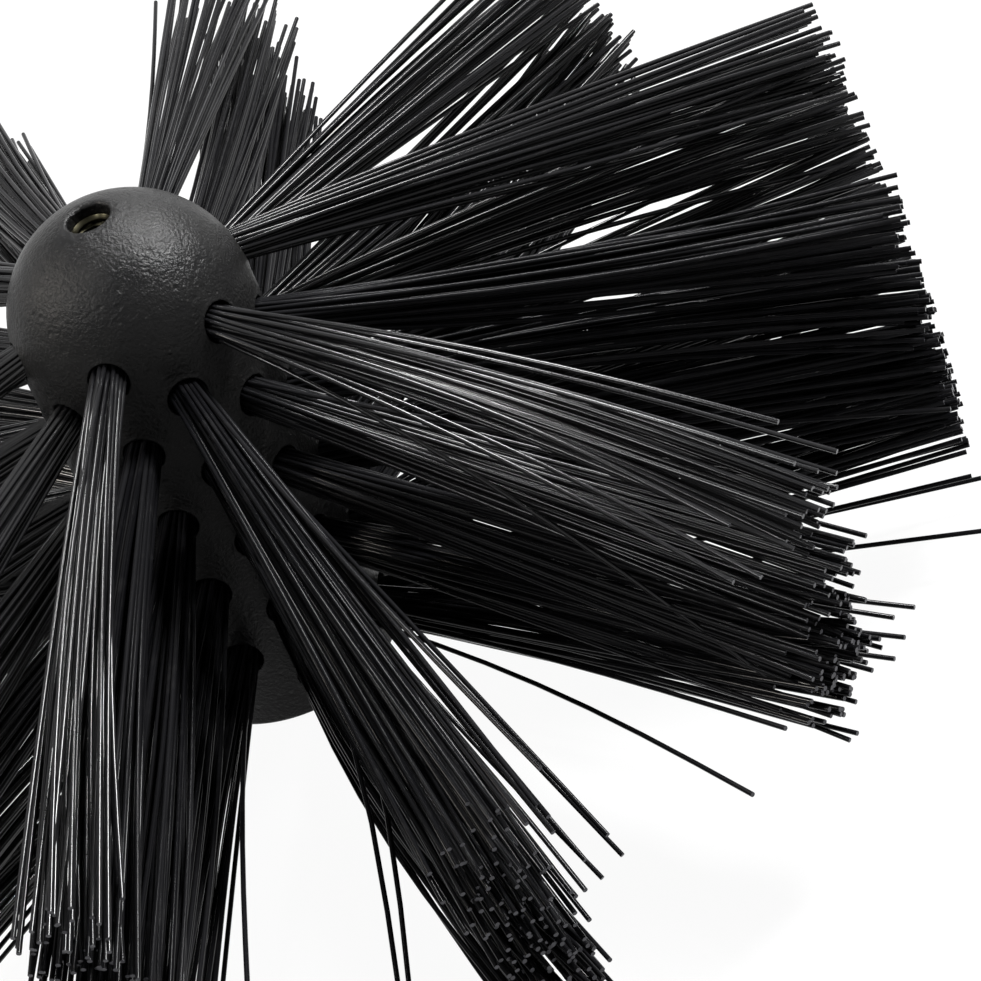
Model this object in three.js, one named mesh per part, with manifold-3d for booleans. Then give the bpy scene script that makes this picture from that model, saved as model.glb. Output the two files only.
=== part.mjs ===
// A chimney sweep's brush, in millimetres, with +Z up along the hub.
// A black moulded hub with a ball nose holds sixty tufts of stiff bristles, in ten rows of six.
// Each row is turned by half a tuft spacing from the row above, so the tufts stand in quincunx.
// The brush has been used, so the tips are swept back to the tail and drawn together.
// A flanged brass ferrule, moulded into the tail, takes the threaded end of a sweep's rod.
// A brass bush, moulded in behind the hole in the nose, takes the screw of a guide wheel or ring.
// The real hub is one moulding. It is cut here across its axis, between rows of tufts, so that
// each length of it can carry its own tufts.
// The origin is on the axis, on the underside of the ferrule's flange, where a rod's collar seats.

import * as THREE from 'three';
import { mergeVertices } from 'three/addons/utils/BufferGeometryUtils.js';
import Module from 'manifold-3d';

const wasm = await Module();
wasm.setup();

// Whole brush
const brushDiameter = 305;

// Hub
const hubRadius = 25;
const tailPlainLength = 10;
const tailEdgeChamfer = 1.2;
const hubFacets = 48;
const noseArcSteps = 9;

// Rows of tufts
const rowCount = 10;
const tuftsPerRow = 6;
const rowPitch = 9.5;
const firstRowBelowPole = 22.5;
const ringCount = 4;

// Drilled hole of a tuft
const tuftHoleRadius = 4.1;
const tuftHoleDepth = 8.5;
const tuftHoleFacets = 12;

// Strands of a tuft, which stand in two ranks, one on each side of its anchor
const strandsPerRank = 3;
const strandSides = 3;
const strandRadius = 0.6;
const rankOffset = 1.6;
const rankHalfLength = 1.4;

// Tips of the tufts: how wide a tuft fans out, and how the rows of tips are drawn together
const fanWidth = 11;
const fanEndShare = 0.35;
const rowFanClearance = 0.5;
const tipSpanShare = 0.55;
const tipSetBack = 9;

// How far use has bent each column of tufts over, round the hub and along it, as shares of the
// brush's diameter. The columns follow each other round from +X.
const columnLeanShares = [
  [0.016, 0.016], [0, -0.016], [0.013, 0], [0.026, 0.007], [-0.062, 0.023], [0, 0.023],
  [0.026, 0.016], [0, 0], [0, 0], [0, 0], [0, 0], [0, 0],
];

// Flat wire anchor that holds the folded tuft down in its hole
const anchorLength = 6.6;
const anchorThickness = 0.8;
const anchorHeight = 1.8;

// Depth by which a strand's root and an anchor are let into the floor of their hole
const rootInset = 0.5;

// Brass ferrule in the tail, threaded M12
const ferruleFlangeRadius = 15;
const ferruleFlangeThickness = 3;
const ferruleFlatHalfWidth = 12;
const ferruleBodyRadius = 9;
const ferruleBodyLength = 36;
const ferruleBoreRadius = 5.1;
const ferruleBoreDepth = 36;
const ferruleMouthRadius = 6.6;
const ferruleMouthDepth = 1.5;
const ferruleGrooveDepth = 1.4;
const ferruleGrooveWidth = 5;
const ferruleGrooveCount = 2;
const ferruleFacets = 28;

// Brass bush behind the nose hole, threaded M8
const noseHoleRadius = 4.45;
const noseHoleRim = 0.6;
const noseSkin = 3;
const bushRadius = 6.5;
const bushLength = 12;
const bushBoreRadius = 3.4;
const bushBoreDepth = 10.5;
const bushGrooveDepth = 1.1;
const bushGrooveWidth = 3.5;
const bushGrooveCount = 1;
const bushFacets = 24;

// Gap between a moulded-in piece and the hub, and how far a cutter runs past what it cuts
const seatClearance = 0.3;
const cutOverrun = 2;

// Heights and angles that follow from the sizes above
const fullTurn = 2 * Math.PI;
const halfTurn = Math.PI;
const quarterTurn = halfTurn / 2;
const tailHeight = ferruleFlangeThickness;
const lastRowHeight = tailHeight + tailPlainLength;
const firstRowHeight = lastRowHeight + (rowCount - 1) * rowPitch;
const middleRowHeight = (firstRowHeight + lastRowHeight) / 2;
const poleHeight = firstRowHeight + firstRowBelowPole;
const ballHeight = poleHeight - hubRadius;
const bushTopHeight = poleHeight - noseSkin;
const holeFloorRadius = hubRadius - tuftHoleDepth;
const rootRadius = holeFloorRadius - rootInset;
const strandLength = brushDiameter / 2 - rootRadius;
const fanHeight = rowPitch * tipSpanShare - strandRadius - rowFanClearance;

const hubPlastic = { color: 0x1c1c1e, roughness: 0.6, metalness: 0 };
const bristlePlastic = { color: 0x111113, roughness: 0.4, metalness: 0 };
const brass = { color: 0xa98a4c, roughness: 0.35, metalness: 1 };

// A closed solid from a closed geometry
function solidOf(geometry) {
  geometry.deleteAttribute('normal');
  geometry.deleteAttribute('uv');
  const merged = mergeVertices(geometry);
  const corners = merged.index.array;
  const kept = [];
  for (let i = 0; i < corners.length; i += 3) {
    const [a, b, c] = corners.slice(i, i + 3);
    if (a !== b && b !== c && c !== a) kept.push(a, b, c);
  }
  return new wasm.Manifold(new wasm.Mesh({
    numProp: 3,
    vertProperties: new Float32Array(merged.attributes.position.array),
    triVerts: new Uint32Array(kept),
  }));
}

// A named mesh from a solid
function meshOf(name, solid, finish) {
  const shape = solid.getMesh();
  const geometry = new THREE.BufferGeometry();
  geometry.setAttribute('position', new THREE.BufferAttribute(shape.vertProperties, 3));
  geometry.setIndex(new THREE.BufferAttribute(shape.triVerts, 1));
  geometry.computeVertexNormals();
  const mesh = new THREE.Mesh(geometry, new THREE.MeshStandardMaterial(finish));
  mesh.name = name;
  return mesh;
}

// A straight bar of even-sided section that stands on the origin along +Z
function prism(radius, sides, length) {
  const corners = [];
  for (let side = 0; side < sides; side += 1) {
    const angle = fullTurn * (side + 0.5) / sides;
    corners.push(new THREE.Vector2(radius * Math.cos(angle), radius * Math.sin(angle)));
  }
  const shape = new THREE.Shape(corners);
  return new THREE.ExtrudeGeometry(shape, { depth: length, bevelEnabled: false });
}

// A solid of revolution about Z, from a profile of [radius, height] pairs that goes up the outside
function turned(profile, facets) {
  const points = profile.map(([radius, height]) => new THREE.Vector2(radius, height));
  const geometry = new THREE.LatheGeometry(points, facets);
  geometry.rotateX(quarterTurn);
  return solidOf(geometry);
}

// The half outline of a body with evenly spaced retaining grooves, from low to high
function groovedSide(radius, low, high, grooveDepth, grooveWidth, grooveCount) {
  const side = [[radius, low]];
  const spacing = (high - low) / (grooveCount + 1);
  for (let groove = 1; groove <= grooveCount; groove += 1) {
    const middle = low + groove * spacing;
    const start = middle - grooveWidth / 2;
    const end = middle + grooveWidth / 2;
    side.push([radius, start], [radius - grooveDepth, start]);
    side.push([radius - grooveDepth, end], [radius, end]);
  }
  side.push([radius, high]);
  return side;
}

// The same outline as a pocket: wider all round by the seat clearance, with narrower ribs
function groovedPocket(radius, low, high, grooveDepth, grooveWidth, grooveCount) {
  const side = groovedSide(radius, low, high, grooveDepth, grooveWidth, grooveCount);
  const ribs = side.slice(1, -1).map(([r, z], corner) => {
    const inward = corner % 4 < 2 ? seatClearance : -seatClearance;
    return [r + seatClearance, z + inward];
  });
  return [
    [radius + seatClearance, low],
    ...ribs,
    [radius + seatClearance, high + seatClearance],
  ];
}

// Hub blank: a flat tail with a broken edge, a straight body and a ball nose
function hubBlank() {
  const profile = [
    [0, tailHeight],
    [hubRadius - tailEdgeChamfer, tailHeight],
    [hubRadius, tailHeight + tailEdgeChamfer],
  ];
  for (let step = 0; step < noseArcSteps; step += 1) {
    const angle = quarterTurn * step / noseArcSteps;
    profile.push([hubRadius * Math.cos(angle), ballHeight + hubRadius * Math.sin(angle)]);
  }
  profile.push([0, poleHeight]);
  return turned(profile, hubFacets);
}

// The hole in the nose with its broken rim, and the pocket behind it that the bush fills
function noseCutter() {
  const rimHeight = ballHeight + Math.sqrt(hubRadius ** 2 - noseHoleRadius ** 2);
  const mouthRadius = noseHoleRadius + noseHoleRim + cutOverrun;
  const hole = turned([
    [0, bushTopHeight],
    [noseHoleRadius, bushTopHeight],
    [noseHoleRadius, rimHeight - noseHoleRim],
    [mouthRadius, rimHeight + cutOverrun],
    [0, rimHeight + cutOverrun],
  ], hubFacets);
  const bottom = bushTopHeight - bushLength;
  const pocket = turned([
    [0, bottom - seatClearance],
    [bushRadius + seatClearance, bottom - seatClearance],
    ...groovedPocket(bushRadius, bottom, bushTopHeight, bushGrooveDepth, bushGrooveWidth,
      bushGrooveCount),
    [0, bushTopHeight + seatClearance],
  ], bushFacets);
  return hole.add(pocket);
}

// The pocket in the tail that the ferrule's grooved body fills
function ferruleCutter() {
  const top = tailHeight + ferruleBodyLength;
  return turned([
    [0, tailHeight - cutOverrun],
    [ferruleBodyRadius + seatClearance, tailHeight - cutOverrun],
    ...groovedPocket(ferruleBodyRadius, tailHeight, top, ferruleGrooveDepth, ferruleGrooveWidth,
      ferruleGrooveCount),
    [0, top + seatClearance],
  ], ferruleFacets);
}

// Where each tuft stands: its height, its angle about the hub and its column
function tuftPlaces(firstRow, endRow) {
  const places = [];
  for (let row = firstRow; row < endRow; row += 1) {
    const height = firstRowHeight - row * rowPitch;
    const stagger = (row % 2) / 2;
    for (let tuft = 0; tuft < tuftsPerRow; tuft += 1) {
      const angle = fullTurn * (tuft + stagger) / tuftsPerRow;
      places.push({ height, angle, column: 2 * tuft + row % 2 });
    }
  }
  return places;
}

// A piece made along +X at height 0, carried round to a tuft's place
function toPlace(geometry, place) {
  geometry.rotateZ(place.angle);
  geometry.translate(0, 0, place.height);
  return solidOf(geometry);
}

function tuftHole(place) {
  const drill = prism(tuftHoleRadius, tuftHoleFacets, tuftHoleDepth + cutOverrun);
  drill.rotateY(quarterTurn);
  drill.translate(holeFloorRadius, 0, 0);
  return toPlace(drill, place);
}

function tuftAnchor(place) {
  const height = anchorHeight + rootInset;
  const bar = new THREE.BoxGeometry(height, anchorThickness, anchorLength);
  bar.translate(rootRadius + height / 2, 0, 0);
  return toPlace(bar, place);
}

// How far the middle of a tuft's tips stands off its hole, round the hub and along it
function tipLean({ height, column }) {
  const [acrossShare, upShare] = columnLeanShares[column % columnLeanShares.length];
  const drawnIn = (middleRowHeight - height) * (1 - tipSpanShare);
  return [brushDiameter * acrossShare, brushDiameter * upShare + drawnIn - tipSetBack];
}

// One strand of a tuft. The strands of a rank fan out evenly from the floor of the hole, so none
// crosses, and the whole rank tilts about the middle of the hole, so none touches the wall. All
// are of one length.
function tuftStrand(place, side, level) {
  const [leanAcross, leanUp] = tipLean(place);
  const pivotShare = (tuftHoleDepth + rootInset) / 2 / strandLength;
  const root = new THREE.Vector3(
    rootRadius,
    side * rankOffset - leanAcross * pivotShare,
    level * rankHalfLength - leanUp * pivotShare,
  );
  const tip = new THREE.Vector3(
    brushDiameter / 2,
    side * fanWidth * (1 - Math.abs(level) * (1 - fanEndShare)) + leanAcross,
    level * fanHeight + leanUp,
  );
  const along = tip.sub(root).normalize();
  const geometry = prism(strandRadius, strandSides, strandLength);
  const upAxis = new THREE.Vector3(0, 0, 1);
  geometry.applyQuaternion(new THREE.Quaternion().setFromUnitVectors(upAxis, along));
  geometry.translate(root.x, root.y, root.z);
  return toPlace(geometry, place);
}

// Every strand of a tuft, in both ranks
function tuftStrands(place) {
  const strands = [];
  for (const side of [-1, 1]) {
    for (let strand = 0; strand < strandsPerRank; strand += 1) {
      const level = 2 * strand / (strandsPerRank - 1) - 1;
      strands.push(tuftStrand(place, side, level));
    }
  }
  return strands;
}

// A length of the hub between two heights
function hubLength(hub, low, high) {
  const radius = hubRadius + cutOverrun;
  return hub.intersect(turned([[0, low], [radius, low], [radius, high], [0, high]], hubFacets));
}

// The height of the cut above a row; the row after the last gives the cut above the tail
function cutAbove(row) {
  return firstRowHeight - (row - 0.5) * rowPitch;
}

function tuftRing(hub, ring) {
  const firstRow = Math.round(ring * rowCount / ringCount);
  const endRow = Math.round((ring + 1) * rowCount / ringCount);
  let ringSolid = hubLength(hub, cutAbove(endRow), cutAbove(firstRow));
  for (const place of tuftPlaces(firstRow, endRow)) {
    ringSolid = ringSolid.add(tuftAnchor(place));
    for (const strand of tuftStrands(place)) {
      ringSolid = ringSolid.add(strand);
    }
  }
  return ringSolid;
}

function drilledHub() {
  let hub = hubBlank().subtract(noseCutter()).subtract(ferruleCutter());
  for (const place of tuftPlaces(0, rowCount)) {
    hub = hub.subtract(tuftHole(place));
  }
  return hub;
}

// The ferrule: a grooved body with a blind bore and a flange with two flats for a spanner
function rodFerrule() {
  const top = tailHeight + ferruleBodyLength;
  const body = turned([
    [0, ferruleBoreDepth],
    [ferruleBoreRadius, ferruleBoreDepth],
    [ferruleBoreRadius, ferruleMouthDepth],
    [ferruleMouthRadius, 0],
    [ferruleFlangeRadius, 0],
    [ferruleFlangeRadius, ferruleFlangeThickness],
    ...groovedSide(ferruleBodyRadius, tailHeight, top, ferruleGrooveDepth, ferruleGrooveWidth,
      ferruleGrooveCount),
    [0, top],
  ], ferruleFacets);
  const flatDepth = ferruleFlangeRadius - ferruleFlatHalfWidth + cutOverrun;
  const width = 2 * (ferruleFlangeRadius + cutOverrun);
  const height = ferruleFlangeThickness + cutOverrun;
  let ferrule = body;
  for (const side of [-1, 1]) {
    const flat = new THREE.BoxGeometry(width, flatDepth, height);
    flat.translate(0, side * (ferruleFlatHalfWidth + flatDepth / 2), ferruleFlangeThickness - height / 2);
    ferrule = ferrule.subtract(solidOf(flat));
  }
  return ferrule;
}

// The bush: a grooved body with a blind bore that opens to the hole in the nose
function noseBush() {
  const bottom = bushTopHeight - bushLength;
  return turned([
    [0, bottom],
    ...groovedSide(bushRadius, bottom, bushTopHeight, bushGrooveDepth, bushGrooveWidth,
      bushGrooveCount),
    [bushBoreRadius, bushTopHeight],
    [bushBoreRadius, bushTopHeight - bushBoreDepth],
    [0, bushTopHeight - bushBoreDepth],
  ], bushFacets);
}

const brush = new THREE.Group();
const hub = drilledHub();
brush.add(meshOf('hub_nose', hubLength(hub, cutAbove(0), poleHeight + cutOverrun), hubPlastic));
for (let ring = 0; ring < ringCount; ring += 1) {
  brush.add(meshOf(`tuft_ring_${ring + 1}`, tuftRing(hub, ring), bristlePlastic));
}
brush.add(meshOf('hub_tail', hubLength(hub, tailHeight - cutOverrun, cutAbove(rowCount)), hubPlastic));
brush.add(meshOf('rod_ferrule', rodFerrule(), brass));
brush.add(meshOf('nose_bush', noseBush(), brass));

export default brush;
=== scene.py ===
"""A chimney sweep's brush dressed for rendering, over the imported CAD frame, in metres.

The hub is one smooth moulding with sixty drilled holes, a ball nose and a hole in the nose.
Each hole holds a tuft of straight plastic bristles of 1 mm, held down by a flat wire anchor.
A brass ferrule with an M12 thread sits in the tail and a brass bush with an M8 thread in the nose.
"""
import math
import random

import bmesh
import bpy
import numpy as np
from mathutils import Matrix, Vector


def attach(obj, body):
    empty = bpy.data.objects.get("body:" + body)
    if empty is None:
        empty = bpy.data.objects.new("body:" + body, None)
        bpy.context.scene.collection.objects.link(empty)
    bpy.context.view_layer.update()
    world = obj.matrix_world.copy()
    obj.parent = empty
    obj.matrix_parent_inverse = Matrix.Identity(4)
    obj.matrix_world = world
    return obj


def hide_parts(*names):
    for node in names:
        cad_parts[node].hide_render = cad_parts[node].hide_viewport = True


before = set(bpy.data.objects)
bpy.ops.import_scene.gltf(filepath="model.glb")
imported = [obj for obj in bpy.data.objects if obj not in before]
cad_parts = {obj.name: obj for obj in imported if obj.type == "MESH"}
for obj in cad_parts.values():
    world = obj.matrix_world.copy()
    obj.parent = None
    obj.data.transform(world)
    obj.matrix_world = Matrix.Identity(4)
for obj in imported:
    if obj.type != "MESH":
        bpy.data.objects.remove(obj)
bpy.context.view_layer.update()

MM = 0.001
HUB_SEED = 11
TUFT_SEED = 1000

# Hub, in millimetres
HUB_RADIUS = 25.0
TAIL_HEIGHT = 3.0
TAIL_EDGE = 1.2
BALL_HEIGHT = 96.0
ROWS = 10
ROW_PITCH = 9.5
FIRST_ROW_HEIGHT = 98.5
LAST_ROW_HEIGHT = 13.0
TUFTS_PER_ROW = 6

# Drilled hole of a tuft, with its rounded rim and the low lip that the drill raised
HOLE_RADIUS = 4.1
HOLE_DEPTH = 8.5
HOLE_FLOOR = HUB_RADIUS - HOLE_DEPTH
RIM_RADIUS = 0.35
RIM_LIP = 0.12
RIM_ROUGHNESS = 0.05

# Hole in the nose, with its broken edge
NOSE_HOLE_RADIUS = 4.45
NOSE_RIM = 0.75
NOSE_BURR = 0.16
NOSE_DIP = 0.1

# Brass bush in the nose, its groove by depth, width and count, and its thread by crest radius,
# root radius and pitch, then where the thread runs and how fast it runs out
BUSH_RADIUS = 6.5
BUSH_TOP = 118.0
BUSH_LENGTH = 12.0
BUSH_EDGE = 0.3
BUSH_BORE_DEPTH = 10.5
BUSH_GROOVE = (1.1, 3.5, 1)
M8_THREAD = (3.4, 4.0, 1.25)
M8_SPAN = (BUSH_TOP - 0.8, BUSH_TOP - 9.5)
M8_RUN_OUT = 10

# Brass ferrule in the tail, its grooves and its thread
FLANGE_RADIUS = 15.0
FLANGE_HALF_FLAT = 12.0
FERRULE_BODY_RADIUS = 9.0
FERRULE_TOP = 39.0
FERRULE_BORE_DEPTH = 36.0
FERRULE_GROOVES = (1.4, 5.0, 2)
M12_THREAD = (5.1, 5.95, 1.75)
M12_SPAN = (1.55, 34.55)
M12_RUN_OUT = 12

# Air between the hub and the brass, and how far a face stays off one that it would lie in
FIT_GAP = 0.05
FACE_GAP = 0.01

# Flat wire anchor across the floor of a hole
ANCHOR_HALF_LENGTH = 3.3
ANCHOR_HALF_WIDTH = 0.4
ANCHOR_HEIGHT = 1.8
ANCHOR_CHAMFER = 0.5

# Bristles
BRISTLE_RADIUS = 0.5
BRISTLE_PITCH = 0.985
BRISTLE_SIDES = 8
BRISTLE_STEPS = 9
BRISTLE_LENGTH = 127.0
BUNDLE_RADIUS = 3.4
REACH_LIMIT = 152.3
LOWEST_TIP = 1.5
TIP_SPAN_SHARE = 0.55
TIP_SET_BACK = 9.0

# Camera, fitted to the photograph: its place, its right-hand and upward directions, and its lens
CAMERA_PLACE = (0.54079, 0.23847, 0.47936)
CAMERA_RIGHT = (-0.07644, 0.95131, -0.2986)
CAMERA_UP = (-0.6604, 0.17606, 0.72998)
CAMERA_LENS = 129.262
SENSOR_WIDTH = 36

# Lamps: how far each stands to the right, up and back of the brush as the photograph shows it,
# in metres, its width, its power and its colour
WHITE = (1.0, 1.0, 1.0)
LAMPS = (
    ("key", 0.32, 0.9, 0.3, 0.2, 33.0, WHITE),
    ("left_front", -0.66, 0.2, 0.73, 0.15, 4.0, WHITE),
    ("top", -0.22, 0.95, 0.17, 0.15, 10.0, WHITE),
    ("back", 0.05, 0.9, -0.35, 0.25, 2.0, WHITE),
    ("side", -0.93, 0.22, 0.25, 0.23, 7.5, (1.0, 0.94, 0.86)),
)
WORLD_LIGHT = 0.15


def new_object(name, points, faces, material, smooth=True):
    """A mesh object from points in millimetres, that rides on the part's only body."""
    mesh = bpy.data.meshes.new(name)
    mesh.from_pydata([(x * MM, y * MM, z * MM) for x, y, z in points], [], faces)
    mesh.validate()
    mesh.polygons.foreach_set("use_smooth", [smooth] * len(mesh.polygons))
    mesh.materials.append(material)
    piece = bpy.data.objects.new(name, mesh)
    bpy.context.scene.collection.objects.link(piece)
    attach(piece, "root")
    return piece


def fix_normals(piece):
    """Turns every face of a closed piece outwards."""
    shape = bmesh.new()
    shape.from_mesh(piece.data)
    bmesh.ops.recalc_face_normals(shape, faces=shape.faces)
    shape.to_mesh(piece.data)
    shape.free()


def sharpen(piece, degrees):
    """Shades a piece flat across every edge that turns by more than an angle."""
    piece.data.set_sharp_from_angle(angle=math.radians(degrees))


# Materials

# Colours from dark to light, then the dust on them
HUB_SHADES = ((0.003, 0.003, 0.0032), (0.0058, 0.0057, 0.0056))
HUB_DUST = (0.11, 0.108, 0.103)
BRISTLE_SHADES = ((0.0022, 0.0022, 0.0026), (0.006, 0.006, 0.0066))
BRISTLE_DUST = (0.08, 0.078, 0.076)
# A cut end's paler colour: partly the rough face of the cut, partly a painted glint where the cut
# ends catch the light
CUT_END_AND_GLINT = (0.04, 0.04, 0.044)
BRASS_SHADES = ((0.36, 0.255, 0.1), (0.6, 0.46, 0.22))
# The bush's brass, darkened nearly to black: painted shade for the inside of the nose hole
BUSH_PAINTED_SHADE_TONES = ((0.008, 0.0075, 0.005), (0.026, 0.024, 0.015))

# Names of the attributes that the bristles carry to their material
SHADE_NAME = "own_shade"
GLOSS_NAME = "gloss"
CUT_NAME = "cut_end"


def new_material(name):
    """A material, its node tree, its shader and the object's own coordinates."""
    material = bpy.data.materials.new(name)
    material.use_nodes = True
    tree = material.node_tree
    shader = tree.nodes["Principled BSDF"]
    place = tree.nodes.new("ShaderNodeTexCoord").outputs["Object"]
    return material, tree, shader, place


def noise_of(tree, place, scale, detail=2.0, roughness=0.5, stretch=None):
    """Noise between 0 and 1, stretched along the axes where a stretch is given."""
    if stretch:
        mapping = tree.nodes.new("ShaderNodeMapping")
        mapping.inputs["Scale"].default_value = stretch
        tree.links.new(place, mapping.inputs["Vector"])
        place = mapping.outputs["Vector"]
    node = tree.nodes.new("ShaderNodeTexNoise")
    node.inputs["Scale"].default_value = scale
    node.inputs["Detail"].default_value = detail
    node.inputs["Roughness"].default_value = roughness
    tree.links.new(place, node.inputs["Vector"])
    return node.outputs["Fac"]


def ramp_of(tree, factor, stops):
    """A colour that follows a factor through stops, each a position and a colour."""
    node = tree.nodes.new("ShaderNodeValToRGB")
    ramp = node.color_ramp
    while len(ramp.elements) < len(stops):
        ramp.elements.new(0.5)
    for element, (position, colour) in zip(ramp.elements, stops):
        element.position = position
        element.color = (*colour, 1.0)
    tree.links.new(factor, node.inputs["Fac"])
    return node.outputs["Color"]


def range_of(tree, factor, low, high, out_low, out_high):
    """A factor between low and high, carried over to another range."""
    node = tree.nodes.new("ShaderNodeMapRange")
    node.inputs["From Min"].default_value = low
    node.inputs["From Max"].default_value = high
    node.inputs["To Min"].default_value = out_low
    node.inputs["To Max"].default_value = out_high
    tree.links.new(factor, node.inputs["Value"])
    return node.outputs["Result"]


def mix_colours(tree, factor, first, second):
    """The first colour where a factor is 0 and the second where it is 1."""
    node = tree.nodes.new("ShaderNodeMix")
    node.data_type = "RGBA"
    inputs = [s for s in node.inputs if s.enabled]
    for socket, value in zip(inputs, (factor, first, second)):
        if isinstance(value, tuple):
            socket.default_value = (*value, 1.0)
        else:
            tree.links.new(value, socket)
    return [s for s in node.outputs if s.enabled][0]


def bump_of(tree, height, distance, strength=1.0, below=None):
    """A bump of a height and a strength, on top of the bump below where there is one."""
    node = tree.nodes.new("ShaderNodeBump")
    node.inputs["Strength"].default_value = strength
    node.inputs["Distance"].default_value = distance
    tree.links.new(height, node.inputs["Height"])
    if below:
        tree.links.new(below, node.inputs["Normal"])
    return node.outputs["Normal"]


def attribute_of(tree, name):
    node = tree.nodes.new("ShaderNodeAttribute")
    node.attribute_name = name
    return node.outputs["Fac"]


# The distances of the bumps below are in metres

def hub_plastic():
    """Black moulded plastic with a fine orange peel, dulled in patches and lightly dusty."""
    material, tree, shader, place = new_material("hub_plastic")
    patches = noise_of(tree, place, 55.0, 4.0, 0.6)
    body = ramp_of(tree, patches, [(0.3, HUB_SHADES[0]), (0.7, HUB_SHADES[1])])
    specks = noise_of(tree, place, 1300.0, 2.0, 0.5)
    dust = ramp_of(tree, specks, [(0.66, (0, 0, 0)), (0.76, (1, 1, 1))])
    colour = mix_colours(tree, range_of(tree, dust, 0, 1, 0.0, 0.14), body, HUB_DUST)
    tree.links.new(colour, shader.inputs["Base Color"])
    tree.links.new(range_of(tree, patches, 0.3, 0.7, 0.25, 0.38), shader.inputs["Roughness"])
    shader.inputs["Specular IOR Level"].default_value = 0.105
    peel = noise_of(tree, place, 1500.0, 3.0, 0.6)
    waves = noise_of(tree, place, 420.0, 2.0, 0.5)
    pits = tree.nodes.new("ShaderNodeTexVoronoi")
    pits.inputs["Scale"].default_value = 330.0
    tree.links.new(place, pits.inputs["Vector"])
    hollow = range_of(tree, pits.outputs["Distance"], 0.0, 0.28, 0.0, 1.0)
    normal = bump_of(tree, waves, 0.00022, 0.8)
    normal = bump_of(tree, peel, 0.00026, 1.0, normal)
    normal = bump_of(tree, hollow, 0.0002, 0.7, normal)
    tree.links.new(normal, shader.inputs["Normal"])
    return material


def bristle_plastic():
    """Black extruded filament.

    Each bristle has a shade of its own, each tuft a gloss that paints in its sheen in the light or
    its shade, and a cut end is paler, partly from the rough cut and partly as a painted glint.
    """
    material, tree, shader, place = new_material("bristle_plastic")
    own = attribute_of(tree, SHADE_NAME)
    body = ramp_of(tree, own, [(0.0, BRISTLE_SHADES[0]), (1.0, BRISTLE_SHADES[1])])
    smear = noise_of(tree, place, 260.0, 3.0, 0.6)
    dusty = range_of(tree, smear, 0.55, 0.8, 0.0, 0.05)
    colour = mix_colours(tree, dusty, body, BRISTLE_DUST)
    # Cut ends paler: the rough cut and a painted glint
    colour = mix_colours(tree, attribute_of(tree, CUT_NAME), colour, CUT_END_AND_GLINT)
    tree.links.new(colour, shader.inputs["Base Color"])
    tree.links.new(range_of(tree, own, 0.0, 1.0, 0.1, 0.16), shader.inputs["Roughness"])
    tree.links.new(attribute_of(tree, GLOSS_NAME), shader.inputs["Specular IOR Level"])
    return material


def turned_brass(name, shades):
    """Turned brass, tarnished in patches between a dark and a light colour."""
    material, tree, shader, place = new_material(name)
    tarnish = noise_of(tree, place, 240.0, 4.0, 0.6)
    colour = ramp_of(tree, tarnish, [(0.35, shades[0]), (0.7, shades[1])])
    tree.links.new(colour, shader.inputs["Base Color"])
    shader.inputs["Metallic"].default_value = 1.0
    tree.links.new(range_of(tree, tarnish, 0.3, 0.7, 0.42, 0.28), shader.inputs["Roughness"])
    turning = noise_of(tree, place, 500.0, 2.0, 0.5, (0.15, 0.15, 12.0))
    tree.links.new(bump_of(tree, turning, 0.00002, 0.6), shader.inputs["Normal"])
    return material


HUB_PLASTIC = hub_plastic()
BRISTLE_PLASTIC = bristle_plastic()
BRASS = turned_brass("dull_brass", BRASS_SHADES)
# Brass of the bush, darkened as painted shade for the inside of the nose hole
BUSH_BRASS_DARK_AS_SHADE = turned_brass("bush_brass_painted_shade", BUSH_PAINTED_SHADE_TONES)


# Points and faces

def at_angle(radius, turn, height):
    return radius * math.cos(turn), radius * math.sin(turn), height


def turned(x, y, z, turn):
    """A point turned about the brush's axis."""
    return x * math.cos(turn) - y * math.sin(turn), x * math.sin(turn) + y * math.cos(turn), z


def all_round(count):
    """Angles that divide a full turn evenly, in radians."""
    return [2 * math.pi * i / count for i in range(count)]


class Shell:
    """Points and faces of a mesh in the making, with shared points found by their key."""

    def __init__(self):
        self.points = []
        self.faces = []
        self.index = {}

    def point(self, place, key=None):
        if key is not None and key in self.index:
            return self.index[key]
        self.points.append(place)
        if key is not None:
            self.index[key] = len(self.points) - 1
        return len(self.points) - 1

    def ring(self, radius, height, turns):
        return [self.point(at_angle(radius, turn, height)) for turn in turns]

    def join(self, first, second):
        count = len(first)
        for i in range(count):
            j = (i + 1) % count
            self.faces.append((first[i], first[j], second[j], second[i]))

    def join_all(self, rings):
        for first, second in zip(rings, rings[1:]):
            self.join(first, second)

    def sweep(self, ring, outline, turns):
        """Joins a ring to one at each radius and height of an outline, and returns the last."""
        for radius, height in outline:
            following = self.ring(radius, height, turns)
            self.join(ring, following)
            ring = following
        return ring

    def close(self, ring):
        self.faces.append(tuple(ring))


# Hub

COLUMNS = 144
CELL_COLUMNS = COLUMNS // (2 * TUFTS_PER_ROW)
HUB_TURNS = all_round(COLUMNS)
PITCH_LEVELS = 6
TAIL_STEP = 7.0
RIM_STEPS = 4
BALL_STEPS = 16
NOSE_RIM_STEPS = 5
TAIL_EDGE_STEPS = 6

# Round a hole's rim: how far out each ring lies, and what share of the lip it still has
RIM_APRON = ((0.25, 0.75), (0.55, 0.25), (0.85, 0.0))

# Shares of the way from there to the border of the hole's cell
CELL_SHARES = (0.3, 0.65)


def surface_radius(height):
    rise = max(height - BALL_HEIGHT, 0.0)
    return math.sqrt(HUB_RADIUS ** 2 - rise ** 2)


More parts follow.
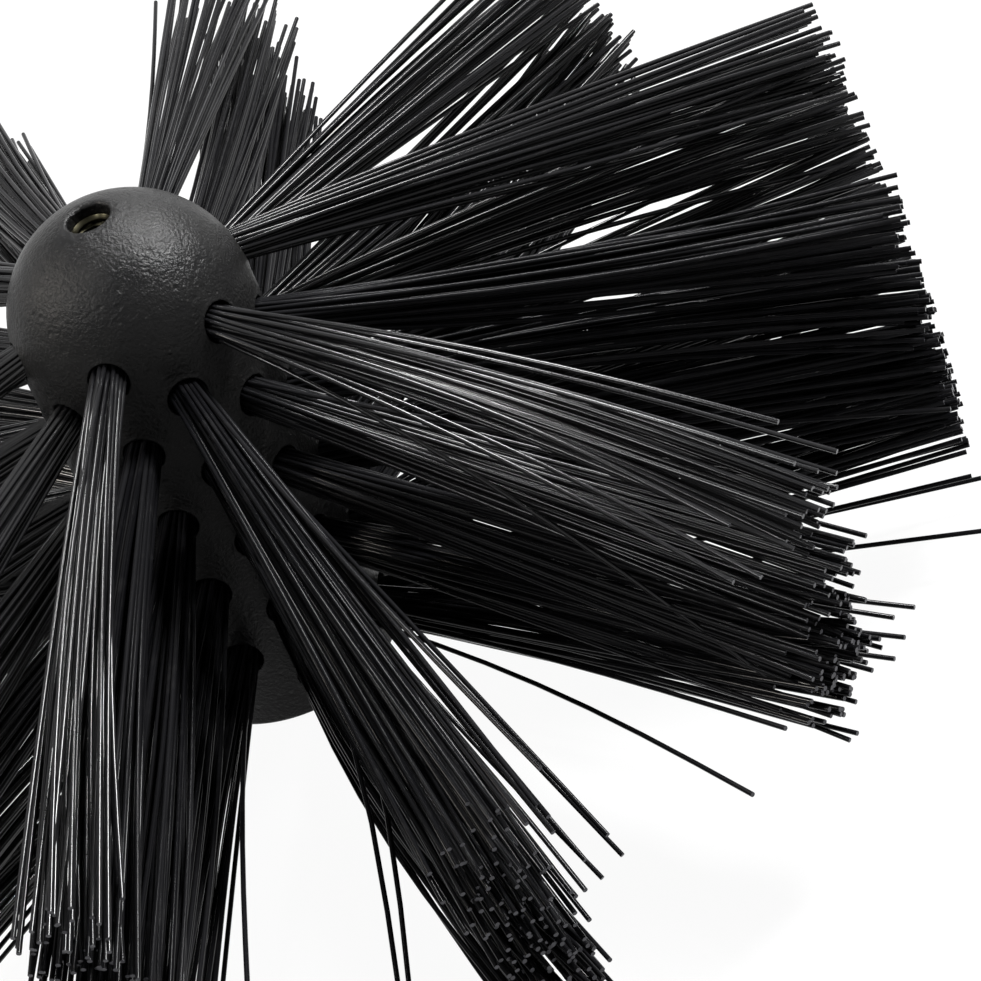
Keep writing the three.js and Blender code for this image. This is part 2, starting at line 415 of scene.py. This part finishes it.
def level_height(level):
    """Height of a level of the band, in shares of the row pitch down to the last row's cells.

    Further down the levels are closer.
    """
    last = ROWS * PITCH_LEVELS
    if level <= last:
        return FIRST_ROW_HEIGHT + ROW_PITCH * (1 - level / PITCH_LEVELS)
    return LAST_ROW_HEIGHT - TAIL_STEP * (level - last) / PITCH_LEVELS


def band_point(shell, column, level):
    height = level_height(level)
    column %= COLUMNS
    place = at_angle(surface_radius(height), HUB_TURNS[column], height)
    return shell.point(place, (column, level))


def cell_border(centre, row):
    """Columns and levels round a hole's cell, counter-clockwise from its right-hand middle."""
    half = CELL_COLUMNS // 2
    top = row * PITCH_LEVELS
    middle = top + PITCH_LEVELS
    bottom = middle + PITCH_LEVELS
    loop = [(centre + half, middle - i) for i in range(PITCH_LEVELS)]
    loop += [(centre + half - i, top) for i in range(CELL_COLUMNS)]
    loop += [(centre - half, top + i) for i in range(2 * PITCH_LEVELS)]
    loop += [(centre - half + i, bottom) for i in range(CELL_COLUMNS)]
    loop += [(centre + half, bottom - i) for i in range(PITCH_LEVELS)]
    return loop


def add_cell(shell, row, tuft, jitter):
    """The surface round one drilled hole, with the hole's rounded rim, its wall and its floor."""
    centre = CELL_COLUMNS * (2 * tuft + row % 2)
    turn = 2 * math.pi * centre / COLUMNS
    height = FIRST_ROW_HEIGHT - row * ROW_PITCH
    border = cell_border(centre, row)
    turns = all_round(len(border))

    def mouth(spread, angle, lift, depth=0.0):
        """A point round the hole, at an angle about its axis, on the surface or off it."""
        y = spread * math.cos(angle)
        z = height + spread * math.sin(angle)
        x = math.sqrt((surface_radius(z) + lift) ** 2 - y * y) - depth
        return x, y, z

    def ring_of_points(places):
        return [shell.point(turned(*place, turn)) for place in places]

    rings = [ring_of_points(
        (HOLE_FLOOR, HOLE_RADIUS * math.cos(angle), height + HOLE_RADIUS * math.sin(angle))
        for angle in turns
    )]
    rough = [jitter.uniform(-RIM_ROUGHNESS, RIM_ROUGHNESS) for _ in turns]
    for step in range(RIM_STEPS + 1):
        bend = math.pi / 2 * step / RIM_STEPS
        spread = HOLE_RADIUS + RIM_RADIUS * (1 - math.cos(bend))
        depth = RIM_RADIUS * (1 - math.sin(bend))
        rings.append(ring_of_points(
            mouth(spread + 0.5 * own, angle, RIM_LIP + 0.6 * own, depth)
            for angle, own in zip(turns, rough)
        ))
    last = HOLE_RADIUS + RIM_RADIUS
    for out, lip_share in RIM_APRON:
        lift = RIM_LIP * lip_share
        rings.append(ring_of_points(mouth(last + out, angle, lift) for angle in turns))
    near = [mouth(last + RIM_APRON[-1][0], angle, 0.0) for angle in turns]
    for share in CELL_SHARES:
        places = []
        for (x, y, z), (column, level) in zip(near, border):
            far_angle = 2 * math.pi * (column - centre) / COLUMNS
            angle = (1 - share) * math.atan2(y, x) + share * far_angle
            z = (1 - share) * z + share * level_height(level)
            places.append(at_angle(surface_radius(z), angle, z))
        rings.append(ring_of_points(places))
    rings.append([band_point(shell, column, level) for column, level in border])
    shell.join_all(rings)
    shell.close(reversed(rings[0]))


def add_plain_cells(shell):
    """The plain surface above and below the columns of holes, where the columns beside have one."""
    for tuft in range(TUFTS_PER_ROW):
        for odd, top_level in ((1, 0), (0, ROWS * PITCH_LEVELS)):
            start = CELL_COLUMNS * (2 * tuft + odd) - CELL_COLUMNS // 2
            for column in range(start, start + CELL_COLUMNS):
                for level in range(top_level, top_level + PITCH_LEVELS):
                    corners = ((column, level), (column, level + 1),
                               (column + 1, level + 1), (column + 1, level))
                    shell.close(band_point(shell, *corner) for corner in corners)


def add_nose(shell, jitter):
    """The ball, the broken edge of the hole in it, the hole and the pocket of the bush."""
    low = math.asin((level_height(0) - BALL_HEIGHT) / HUB_RADIUS)
    high = math.acos((NOSE_HOLE_RADIUS + NOSE_RIM) / HUB_RADIUS)
    outline = []
    for step in range(1, BALL_STEPS + 1):
        angle = low + (high - low) * step / BALL_STEPS
        outline.append((HUB_RADIUS * math.cos(angle), BALL_HEIGHT + HUB_RADIUS * math.sin(angle)))
    ring = [band_point(shell, column, 0) for column in range(COLUMNS)]
    ring = shell.sweep(ring, outline, HUB_TURNS)
    rim_top = outline[-1][1]
    burr = [jitter.uniform(-1, 1) for _ in range(COLUMNS)]
    burr = [(burr[i - 1] + burr[i] + burr[(i + 1) % COLUMNS]) / 3 for i in range(COLUMNS)]
    for step in range(1, NOSE_RIM_STEPS + 1):
        angle = math.pi / 2 * step / NOSE_RIM_STEPS
        radius = NOSE_HOLE_RADIUS + NOSE_RIM * (1 - math.sin(angle))
        height = rim_top - NOSE_RIM * (1 - math.cos(angle))
        inner = []
        for i, turn in enumerate(HUB_TURNS):
            out = radius + NOSE_BURR * burr[i] * math.sin(angle)
            dip = NOSE_DIP * abs(burr[(7 * i) % COLUMNS]) * math.sin(2 * angle)
            inner.append(shell.point(at_angle(out, turn, height - dip)))
        shell.join(ring, inner)
        ring = inner
    pocket = BUSH_RADIUS + FIT_GAP
    pocket_top = BUSH_TOP + FIT_GAP
    pocket_floor = BUSH_TOP - BUSH_LENGTH - FIT_GAP
    shell.close(shell.sweep(ring, (
        (NOSE_HOLE_RADIUS, BUSH_TOP + 1.2), (NOSE_HOLE_RADIUS, pocket_top),
        (pocket, pocket_top), (pocket, pocket_floor),
    ), HUB_TURNS))


def add_tail(shell):
    """The plain tail with its rounded edge, the tail's face and the pocket of the ferrule."""
    outline = [(HUB_RADIUS, TAIL_HEIGHT + TAIL_EDGE + 0.6)]
    for step in range(TAIL_EDGE_STEPS + 1):
        angle = math.pi / 2 * step / TAIL_EDGE_STEPS
        outline.append((
            HUB_RADIUS - TAIL_EDGE * (1 - math.cos(angle)),
            TAIL_HEIGHT + TAIL_EDGE * (1 - math.sin(angle)),
        ))
    pocket = FERRULE_BODY_RADIUS + FIT_GAP
    outline += [(21.0, TAIL_HEIGHT), (16.0, TAIL_HEIGHT), (pocket, TAIL_HEIGHT), (pocket, 20.0)]
    outline.append((pocket, FERRULE_TOP + FIT_GAP))
    ring = [band_point(shell, column, (ROWS + 1) * PITCH_LEVELS) for column in range(COLUMNS)]
    shell.close(shell.sweep(ring, outline, HUB_TURNS))


def make_hub():
    shell = Shell()
    jitter = random.Random(HUB_SEED)
    for row in range(ROWS):
        for tuft in range(TUFTS_PER_ROW):
            add_cell(shell, row, tuft, jitter)
    add_plain_cells(shell)
    add_nose(shell, jitter)
    add_tail(shell)
    hub = new_object("hub_moulding", shell.points, shell.faces, HUB_PLASTIC)
    fix_normals(hub)
    sharpen(hub, 40)
    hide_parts("hub_nose", "tuft_ring_1", "tuft_ring_2", "tuft_ring_3", "tuft_ring_4",
                "hub_tail")


# Tufts

# How far each column of tufts leans, round from +X: its tips across and up, in millimetres
COLUMN_LEANS = [
    (5.0, 5.0), (0.0, -5.0), (4.0, 0.0), (8.0, 2.0), (-19.0, 7.0), (0.0, 7.0),
    (8.0, 5.0), (0.0, 0.0), (0.0, 0.0), (0.0, 0.0), (0.0, 0.0), (0.0, 0.0),
]

# Tufts whose own lean the photograph shows, by row and azimuth in degrees: how far the middle of
# the tips stands off across and up, in millimetres, and how far the tuft opens across and up
LEANS = {
    (0, 0): (5.3, -22.5, 2.4, 2.8), (1, 30): (0.0, -29.0, 3.8, 4.2),
    (0, 60): (8.0, -28.5, 3.0, 2.5), (2, 60): (7.5, -27.0, 3.0, 2.6),
    (4, 60): (2.4, -16.5, 3.0, 2.6), (6, 60): (0.5, -3.0, 3.0, 2.4),
    (8, 60): (-1.7, 15.0, 3.0, 1.9), (1, 90): (8.0, -14.5, 3.0, 2.6),
    (3, 90): (8.5, -13.5, 3.0, 2.6), (5, 90): (8.0, -7.0, 3.0, 2.6),
    (7, 90): (8.0, 2.5, 3.0, 2.4), (9, 90): (8.0, 12.0, 3.0, 2.2),
    (0, 120): (-14.0, -17.0, 3.0, 3.0), (2, 120): (-18.0, -9.0, 3.0, 3.0),
    (4, 120): (-20.0, -4.0, 3.0, 3.0), (6, 120): (-24.0, -3.0, 3.0, 3.0),
    (0, 180): (9.8, -20.5, 4.6, 3.2), (2, 180): (4.6, -16.0, 3.0, 3.0),
    (1, 150): (-2.0, -13.0, 3.4, 3.2), (3, 150): (0.0, -13.0, 3.0, 3.0),
}

# Gloss of the tufts by row and azimuth, or else by azimuth: painted sheen on tufts that catch the
# light, painted shade on those in shade
TUFT_PAINTED_SHEEN = {(0, 60): 0.23, (0, 0): 0.12, (0, 120): 0.14, (2, 120): 0.13, (1, 30): 0.033}
SIDE_PAINTED_SHEEN = {
    0: 0.03, 60: 0.12, 90: 0.03, 120: 0.15, 150: 0.07, 180: 0.04,
    240: 0.3, 270: 0.3, 300: 0.42, 330: 0.42,
}
PLAIN_GLOSS = 0.06

# Single bristles that stray, by the tuft they stand in: their tips across and up, and how far
# they bow across, where they do
STRAYS = {
    (6, 60): [(27.0, -12.4), (17.5, -5.3), (-3.8, -1.6)],
    (4, 60): [(20.3, -37.3), (14.0, -30.0)],
    (8, 60): [(21.9, 3.4), (15.8, 8.7), (18.1, 1.1), (-17.9, 19.0), (-3.0, 3.4), (-30.4, 14.0)],
    (1, 30): [(13.2, -15.6), (20.9, -44.0), (22.9, -54.9), (16.0, -50.0), (18.0, -58.0),
              (-21.9, -67.9, 11.0), (-24.3, -64.5, 9.0)],
    (9, 90): [(9.7, -7.2), (-9.0, -5.0), (6.0, -3.0)],
    (0, 60): [(-14.3, -24.4), (-10.1, -26.4), (-7.0, -57.8), (16.4, -14.6), (21.0, -24.3),
              (7.1, -14.4)],
    (2, 60): [(13.7, -6.6)],
    (8, 0): [(27.9, 28.8)],
}

# How the other tufts differ: the spread of their leans across and up, and how far they open
LEAN_SPREAD = (1.5, 1.2)
OPENING_ACROSS = (2.7, 3.2)
OPENING_UP = (2.6, 3.0)

# How the other bristles differ: the share that stray and how far, the share that is worn short
# and by how much, and the spread of tips, lengths and bows, in millimetres
STRAY_SHARE = 0.04
STRAY_SPREAD = 4.0
TIP_SPREAD = 1.2
WORN_SHARE = 0.08
WORN_BY = 12
LENGTH_SPREAD = 1.6
TUFT_BOW = 1.0
OWN_BOW = 0.7

# How the bristles are packed: rows on each side of the middle, and how far the packing is shifted
LATTICE_ROWS = range(-6, 7)
LATTICE_SHIFT = 0.3

# A bristle spreads a little more slowly than in proportion as it leaves its hole
OPENING_POWER = 1.08

# Where a bristle stands over its hole's anchor, across and up, and how high above the floor of
# the hole it starts there and elsewhere
ON_ANCHOR = (0.95, 3.8)
ANCHOR_ROOT = 2.0
FLOOR_ROOT = 0.15

# Depth in the hole at which a bristle starts to spread, how far a leaning tuft slips the other way
# in its hole, and the lean that takes it all the way
SPREAD_DEPTH = 1.5
SLACK = -0.25
FULL_SLACK_LEAN = 5.0


def lattice(turn, shift):
    """Bristle places across a hole, packed side by side, as offsets across and up."""
    places = []
    for j in LATTICE_ROWS:
        for i in LATTICE_ROWS:
            x = BRISTLE_PITCH * (i + 0.5 * (j % 2)) + shift[0]
            y = BRISTLE_PITCH * math.sqrt(3) / 2 * j + shift[1]
            if math.hypot(x, y) <= BUNDLE_RADIUS:
                places.append(turned(x, y, 0.0, turn)[:2])
    return places


def tuft_lean(row, tuft, azimuth, height, seed):
    """Where the middle of a tuft's tips stands across and up, and how far the tuft opens."""
    middle = (FIRST_ROW_HEIGHT + LAST_ROW_HEIGHT) / 2
    rise = (middle - height) * (1 - TIP_SPAN_SHARE) - TIP_SET_BACK
    column_across, column_up = COLUMN_LEANS[2 * tuft + row % 2]
    lean = (
        column_across + seed.gauss(0, LEAN_SPREAD[0]),
        column_up + rise + seed.gauss(0, LEAN_SPREAD[1]),
        seed.uniform(*OPENING_ACROSS), seed.uniform(*OPENING_UP),
    )
    return LEANS.get((row, azimuth), lean)


def led_places(strays, places, lean):
    """The bristle places nearest the side that each stray goes to, with its tip and its bow."""
    led = {}
    for stray_x, stray_z, *bow in strays:
        off_x = stray_x - lean[0]
        off_z = stray_z - lean[1]
        free = [place for place in places if place not in led]
        chosen = max(free, key=lambda place: place[0] * off_x + place[1] * off_z)
        led[chosen] = (stray_x, stray_z, bow[0] if bow else 0.0)
    return led


def bristle_path(axes, height, root, start, tip, bow):
    """Points along a bristle, from the floor of its hole to its tip.

    The start and the bow are offsets across and up, and the tip is one out, across and up.
    """
    out, across, up = axes
    mouth = HUB_RADIUS - SPREAD_DEPTH
    path = [out * root + across * start[0] + up * (height + start[1])]
    for step in range(BRISTLE_STEPS):
        share = step / (BRISTLE_STEPS - 1)
        bend = math.sin(math.pi * share)
        opened = share ** OPENING_POWER
        place = out * (mouth + (tip[0] - mouth) * share)
        place = place + across * (start[0] + (tip[1] - start[0]) * opened + bow[0] * bend)
        place = place + up * (height + start[1] + (tip[2] - start[1]) * opened + bow[1] * bend)
        path.append(place)
    return path


def tube(path, radius, sides):
    """Rings of points round a path. Returns the points, the faces and the caps of both ends."""
    points = []
    faces = []
    count = len(path)
    for i, here in enumerate(path):
        along = path[min(i + 1, count - 1)] - path[max(i - 1, 0)]
        along = along / np.linalg.norm(along)
        across = np.cross(along, (0.13, 0.21, 0.97))
        across = across / np.linalg.norm(across)
        over = np.cross(along, across)
        for angle in all_round(sides):
            points.append(here + radius * (math.cos(angle) * across + math.sin(angle) * over))
    for i in range(count - 1):
        low = i * sides
        high = low + sides
        for side in range(sides):
            other = (side + 1) % sides
            faces.append((low + side, low + other, high + other, high + side))
    last = (count - 1) * sides
    caps = [tuple(reversed(range(sides))), tuple(range(last, last + sides))]
    return points, faces, caps


def add_values(piece, name, domain, values):
    piece.data.attributes.new(name, "FLOAT", domain).data.foreach_set("value", values)


def ring_of(row):
    """The CAD's ring that carries a row of tufts."""
    return next(ring for ring in range(1, 5) if row < math.floor(ring * ROWS / 4 + 0.5))


def make_tuft(row, tuft):
    seed = random.Random(TUFT_SEED + row * TUFTS_PER_ROW + tuft)
    azimuth = int((tuft + 0.5 * (row % 2)) * 360 // TUFTS_PER_ROW)
    height = FIRST_ROW_HEIGHT - row * ROW_PITCH
    turn = math.radians(azimuth)
    axes = (
        np.array((math.cos(turn), math.sin(turn), 0.0)),
        np.array((-math.sin(turn), math.cos(turn), 0.0)),
        np.array((0.0, 0.0, 1.0)),
    )
    lean = tuft_lean(row, tuft, azimuth, height, seed)
    tuft_bow = (seed.gauss(0, TUFT_BOW), seed.gauss(0, TUFT_BOW))
    slack = SLACK / max(math.hypot(lean[0], lean[1]), FULL_SLACK_LEAN)
    packing_turn = seed.uniform(0, math.pi)
    shift = [seed.uniform(-LATTICE_SHIFT, LATTICE_SHIFT) for _ in range(2)]
    places = lattice(packing_turn, shift)
    led = led_places(STRAYS.get((row, azimuth), []), places, lean)
    points = []
    faces = []
    shades = []
    cuts = []
    for x, y in places:
        wander = STRAY_SPREAD if seed.random() < STRAY_SHARE else TIP_SPREAD
        tip_x = lean[0] + lean[2] * x + seed.gauss(0, wander)
        tip_z = lean[1] + lean[3] * y + seed.gauss(0, wander)
        led_bow = 0.0
        if (x, y) in led:
            tip_x, tip_z, led_bow = led[x, y]
        length = BRISTLE_LENGTH + seed.gauss(0, LENGTH_SPREAD)
        if seed.random() < WORN_SHARE:
            length -= seed.uniform(0, WORN_BY)
        tip_out = HUB_RADIUS + math.sqrt(length ** 2 - tip_x ** 2 - tip_z ** 2)
        tip_out = min(tip_out, math.sqrt(REACH_LIMIT ** 2 - tip_x ** 2))
        tip = (tip_out, tip_x, max(tip_z, LOWEST_TIP - height))
        bow_x = tuft_bow[0] + seed.gauss(0, OWN_BOW) + led_bow
        bow_z = tuft_bow[1] + seed.gauss(0, OWN_BOW)
        over_anchor = abs(x) < ON_ANCHOR[0] and abs(y) < ON_ANCHOR[1]
        root = HOLE_FLOOR + (ANCHOR_ROOT if over_anchor else FLOOR_ROOT)
        start = (x + slack * lean[0], y + slack * lean[1])
        path = bristle_path(axes, height, root, start, tip, (bow_x, bow_z))
        tube_points, sides, caps = tube(path, BRISTLE_RADIUS, BRISTLE_SIDES)
        first = len(points)
        points.extend(tube_points)
        shades.extend([seed.random()] * len(tube_points))
        faces.extend(tuple(first + corner for corner in face) for face in (*sides, *caps))
        cuts.extend([0.0] * (len(sides) + 1) + [1.0])
    piece = new_object(f"tuft_{row + 1:02d}_{tuft + 1}", points, faces, BRISTLE_PLASTIC)
    add_values(piece, SHADE_NAME, "POINT", shades)
    # The gloss carries each tuft's painted sheen and painted shade
    gloss = TUFT_PAINTED_SHEEN.get((row, azimuth), SIDE_PAINTED_SHEEN.get(azimuth, PLAIN_GLOSS))
    add_values(piece, GLOSS_NAME, "POINT", [gloss] * len(points))
    add_values(piece, CUT_NAME, "FACE", cuts)
    sharpen(piece, 60)
    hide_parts(f"tuft_ring_{ring_of(row)}")


# Brass

THREAD_SHARPNESS = 28
BUSH_TURNS = all_round(72)


def thread_radius(share, crest, root):
    """Radius of an internal thread at a share of its pitch.

    A flat crest is followed by a flank, a flat root and a flank.
    """
    if share < 0.2:
        return crest
    if share < 0.5:
        return crest + (root - crest) * (share - 0.2) / 0.3
    if share < 0.7:
        return root
    return root + (crest - root) * (share - 0.7) / 0.3


def threaded_bore(shell, ring, turns, thread, span, run_out):
    """Joins a ring at one end of a bore to a helical thread, and returns the ring at the other."""
    crest, root, pitch = thread
    start, end = span
    steps = int(round(abs(end - start) / (pitch / 8)))
    for step in range(steps + 1):
        part = step / steps
        height = start + (end - start) * part
        fade = min(1.0, run_out * part + 0.05, run_out * (1 - part) + 0.05)
        inner = []
        for turn in turns:
            share = (height / pitch - turn / (2 * math.pi)) % 1.0
            radius = crest + fade * (thread_radius(share, crest, root) - crest)
            inner.append(shell.point(at_angle(radius, turn, height)))
        shell.join(ring, inner)
        ring = inner
    return ring


def grooved(radius, low, high, depth, width, count):
    """Outline of a turned body with grooves spaced evenly along it, from low to high."""
    spacing = (high - low) / (count + 1)
    side = [(radius, low)]
    for groove in range(1, count + 1):
        middle = low + groove * spacing
        side += [(radius, middle - width / 2), (radius - depth, middle - width / 2)]
        side += [(radius - depth, middle + width / 2), (radius, middle + width / 2)]
    return side + [(radius, high)]


def make_ferrule():
    """The brass ferrule: a flange with two flats, a grooved body and an M12 blind thread."""
    shell = Shell()
    corner = math.degrees(math.asin(FLANGE_HALF_FLAT / FLANGE_RADIUS))
    angles = set(range(0, 360, 5)) | {corner, 180 - corner, 180 + corner, 360 - corner}
    turns = [math.radians(angle) for angle in sorted(angles)]

    def flanged(radius, height):
        trim = FLANGE_HALF_FLAT - (FLANGE_RADIUS - radius)
        reaches = [min(radius, trim / max(abs(math.sin(turn)), 1e-6)) for turn in turns]
        return [shell.point(at_angle(*pair, height)) for pair in zip(reaches, turns)]

    top = TAIL_HEIGHT - FACE_GAP
    crest = M12_THREAD[0]
    rings = [shell.ring(6.6, 0.0, turns), shell.ring(9.5, 0.0, turns)]
    rings += [flanged(14.6, 0.0), flanged(14.88, 0.12), flanged(FLANGE_RADIUS, 0.4)]
    rings += [flanged(FLANGE_RADIUS, 2.6), flanged(14.88, 2.88), flanged(14.6, top)]
    rings.append(shell.ring(9.6, top, turns))
    for radius, height in grooved(FERRULE_BODY_RADIUS, top, FERRULE_TOP, *FERRULE_GROOVES):
        rings.append(shell.ring(radius, height, turns))
    rings.append(shell.ring(5.5, FERRULE_TOP, turns))
    shell.join_all(rings)
    shell.close(rings[-1])
    ring = shell.sweep(rings[0], ((6.5, 0.06), (5.2, 1.45)), turns)
    ring = threaded_bore(shell, ring, turns, M12_THREAD, M12_SPAN, M12_RUN_OUT)
    shell.close(shell.sweep(ring, ((crest, FERRULE_BORE_DEPTH),), turns))
    piece = new_object("ferrule_m12", shell.points, shell.faces, BRASS)
    fix_normals(piece)
    sharpen(piece, THREAD_SHARPNESS)
    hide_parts("rod_ferrule")


def make_bush():
    """The brass bush behind the hole in the nose, with an M8 blind thread."""
    shell = Shell()
    crest = M8_THREAD[0]
    low = BUSH_TOP - BUSH_LENGTH
    outline = grooved(BUSH_RADIUS, low, BUSH_TOP - BUSH_EDGE, *BUSH_GROOVE)
    outline += [(BUSH_RADIUS - BUSH_EDGE, BUSH_TOP), (4.1, BUSH_TOP)]
    rings = [shell.ring(radius, height, BUSH_TURNS) for radius, height in outline]
    shell.join_all(rings)
    shell.close(rings[0])
    ring = shell.sweep(rings[-1], ((3.5, BUSH_TOP - 0.6),), BUSH_TURNS)
    ring = threaded_bore(shell, ring, BUSH_TURNS, M8_THREAD, M8_SPAN, M8_RUN_OUT)
    shell.close(shell.sweep(ring, ((crest, BUSH_TOP - BUSH_BORE_DEPTH),), BUSH_TURNS))
    # The bush wears the brass darkened as painted shade
    piece = new_object("bush_m8", shell.points, shell.faces, BUSH_BRASS_DARK_AS_SHADE)
    fix_normals(piece)
    sharpen(piece, THREAD_SHARPNESS)
    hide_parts("nose_bush")


def make_anchors():
    """The flat wires that hold the tufts down, one across the floor of each hole."""
    points = []
    faces = []
    end = ANCHOR_HALF_LENGTH
    low = HOLE_FLOOR
    high = low + ANCHOR_HEIGHT
    outline = [
        (-end, low), (end, low), (end, high - ANCHOR_CHAMFER), (end - ANCHOR_CHAMFER, high),
        (-end + ANCHOR_CHAMFER, high), (-end, high - ANCHOR_CHAMFER),
    ]
    count = len(outline)
    for row in range(ROWS):
        for tuft in range(TUFTS_PER_ROW):
            turn = 2 * math.pi * (tuft + 0.5 * (row % 2)) / TUFTS_PER_ROW
            height = FIRST_ROW_HEIGHT - row * ROW_PITCH
            first = len(points)
            for side in (-ANCHOR_HALF_WIDTH, ANCHOR_HALF_WIDTH):
                points.extend(turned(x, side, height + along, turn) for along, x in outline)
            near = range(first, first + count)
            far = range(first + count, first + 2 * count)
            faces.append(tuple(near))
            faces.append(tuple(reversed(far)))
            for i in range(count):
                j = (i + 1) % count
                faces.append((near[i], far[i], far[j], near[j]))
    piece = new_object("tuft_anchors", points, faces, BRASS, smooth=False)
    fix_normals(piece)
    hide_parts("tuft_ring_1", "tuft_ring_2", "tuft_ring_3", "tuft_ring_4")


make_hub()
for row in range(ROWS):
    for tuft in range(TUFTS_PER_ROW):
        make_tuft(row, tuft)
make_ferrule()
make_bush()
make_anchors()


# Stage, light and camera

FLOOR_SIZE = 30.0
FLOOR_COLOUR = (0.8, 0.8, 0.8, 1)
FLOOR_GLOW_SHARE = 0.95

RIGHT = Vector(CAMERA_RIGHT).normalized()
UP = Vector(CAMERA_UP).normalized()
BACK = RIGHT.cross(UP).normalized()
MIDDLE = Vector((0.0, 0.0, 0.07))


def seen_directly(tree):
    """1 for rays from the camera and for those that a gloss or a clear piece sends on."""
    path = tree.nodes.new("ShaderNodeLightPath")
    value = path.outputs["Is Camera Ray"]
    for other in ("Is Glossy Ray", "Is Transmission Ray"):
        node = tree.nodes.new("ShaderNodeMath")
        node.operation = "MAXIMUM"
        tree.links.new(value, node.inputs[0])
        tree.links.new(path.outputs[other], node.inputs[1])
        value = node.outputs[0]
    return value


def make_floor():
    """A pale floor just under the part, so that no face of the part lies in it."""
    mesh = bpy.data.meshes.new("floor")
    size = FLOOR_SIZE
    under = -0.1 * MM
    corners = ((-size, -size), (size, -size), (size, size), (-size, size))
    mesh.from_pydata([(*corner, under) for corner in corners], [], [(0, 1, 2, 3)])
    floor = bpy.data.objects.new("floor", mesh)
    bpy.context.scene.collection.objects.link(floor)
    material, tree, shader, _ = new_material("pale_floor")
    shader.inputs["Base Color"].default_value = FLOOR_COLOUR
    shader.inputs["Roughness"].default_value = 0.9
    shader.inputs["Specular IOR Level"].default_value = 0.0
    glow = tree.nodes.new("ShaderNodeEmission")
    glow.inputs["Color"].default_value = (1, 1, 1, 1)
    glow.inputs["Strength"].default_value = 1.0
    mix = tree.nodes.new("ShaderNodeMixShader")
    share = tree.nodes.new("ShaderNodeMath")
    share.operation = "MULTIPLY"
    share.inputs[1].default_value = FLOOR_GLOW_SHARE
    tree.links.new(seen_directly(tree), share.inputs[0])
    tree.links.new(share.outputs[0], mix.inputs["Fac"])
    tree.links.new(shader.outputs[0], mix.inputs[1])
    tree.links.new(glow.outputs[0], mix.inputs[2])
    tree.links.new(mix.outputs[0], tree.nodes["Material Output"].inputs["Surface"])
    mesh.materials.append(material)


def make_world():
    """A white world for what is seen, and a dim one for what it lights."""
    world = bpy.data.worlds.new("studio")
    bpy.context.scene.world = world
    world.use_nodes = True
    tree = world.node_tree
    light = tree.nodes["Background"]
    light.inputs["Color"].default_value = (1, 1, 1, 1)
    light.inputs["Strength"].default_value = WORLD_LIGHT
    white = tree.nodes.new("ShaderNodeBackground")
    white.inputs["Color"].default_value = (1, 1, 1, 1)
    white.inputs["Strength"].default_value = 1.0
    mix = tree.nodes.new("ShaderNodeMixShader")
    tree.links.new(seen_directly(tree), mix.inputs["Fac"])
    tree.links.new(light.outputs[0], mix.inputs[1])
    tree.links.new(white.outputs[0], mix.inputs[2])
    tree.links.new(mix.outputs[0], tree.nodes["World Output"].inputs["Surface"])


def add_lamp(name, right, up, back, size, power, colour):
    """An area lamp aimed at the brush, placed by the photograph's own directions."""
    data = bpy.data.lights.new(name, "AREA")
    data.shape = "SQUARE"
    data.size = size
    data.energy = power
    data.color = colour
    lamp = bpy.data.objects.new(name, data)
    bpy.context.scene.collection.objects.link(lamp)
    lamp.location = MIDDLE + RIGHT * right + UP * up + BACK * back
    lamp.rotation_euler = (lamp.location - MIDDLE).to_track_quat("Z", "Y").to_euler()


def make_camera():
    data = bpy.data.cameras.new("camera")
    data.sensor_width = SENSOR_WIDTH
    data.lens = CAMERA_LENS
    data.clip_start = 0.01
    data.clip_end = 100
    camera = bpy.data.objects.new("camera", data)
    bpy.context.scene.collection.objects.link(camera)
    turn = Matrix((RIGHT, UP, BACK)).transposed().to_4x4()
    camera.matrix_world = Matrix.Translation(Vector(CAMERA_PLACE)) @ turn
    bpy.context.scene.camera = camera


make_floor()
make_world()
for lamp in LAMPS:
    add_lamp(*lamp)
make_camera()
bpy.context.scene.view_settings.view_transform = "Standard"
